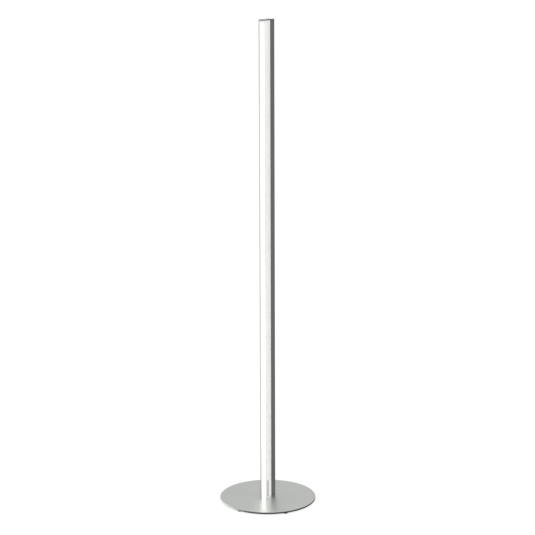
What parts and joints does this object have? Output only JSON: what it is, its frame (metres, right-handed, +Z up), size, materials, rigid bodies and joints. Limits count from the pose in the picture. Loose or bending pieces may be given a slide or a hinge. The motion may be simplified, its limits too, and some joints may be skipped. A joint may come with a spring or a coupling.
{
  "type": "led floor lamp",
  "caption": "Slim LED floor lamp: an upright clear light bar with an opal lit front and a dark grey metal rear channel on a thin round base, with a rear push button.",
  "frame": {"origin": "on the floor, under the middle of the round base", "axes": "+Z up along the column, -Y towards the lit front, +Y towards the metal back"},
  "size_m": [0.24, 0.24, 1.2],
  "materials": {
    "satin_nickel": "satin nickel",
    "graphite_coat": "satin powder coat",
    "black_rubber": "matt",
    "zinc_steel": "zinc plated",
    "milled_aluminium": "milled",
    "clear_acrylic": "polished, clear",
    "opal_acrylic": "opal, satin",
    "white_circuit": "solder mask",
    "led_phosphor": "phosphor gel",
    "wire_insulation": "smooth",
    "black_plastic": "moulded",
    "terminal_plastic": "moulded",
    "green_circuit": "solder mask",
    "component_plastic": "moulded",
    "brass": "turned",
    "button_plastic": "satin"
  },
  "bodies": {
    "lamp": {"base_plate": "satin_nickel", "top_cap": "satin_nickel", "column_channel": "graphite_coat", "base_feet": "black_rubber", "base_screws": "zinc_steel", "channel_screws": "zinc_steel", "cap_screws": "zinc_steel", "board_screws": "zinc_steel", "terminal_screws": "zinc_steel", "foot_block": "milled_aluminium", "top_block": "milled_aluminium", "light_bar": "clear_acrylic", "front_diffuser": "opal_acrylic", "led_cover": "opal_acrylic", "led_circuit": "white_circuit", "led_chips": "led_phosphor", "led_leads": "wire_insulation", "feed_wires": "wire_insulation", "cord_gland": "black_plastic", "gland_nut": "black_plastic", "terminal_block": "terminal_plastic", "control_board": "green_circuit", "board_components": "component_plastic", "board_spacers": "brass", "switch_body": "component_plastic", "button_bezel": "satin_nickel"},
    "button": {"push_button": "button_plastic", "switch_plunger": "terminal_plastic"}
  },
  "joints": [
    {"name": "button_press", "type": "slide", "parent": "lamp", "child": "button", "axis": [0, -1, 0], "range_m": [0, 0.001], "stiffness_N_per_m": 1500, "springref_m": -0.001}
  ]
}
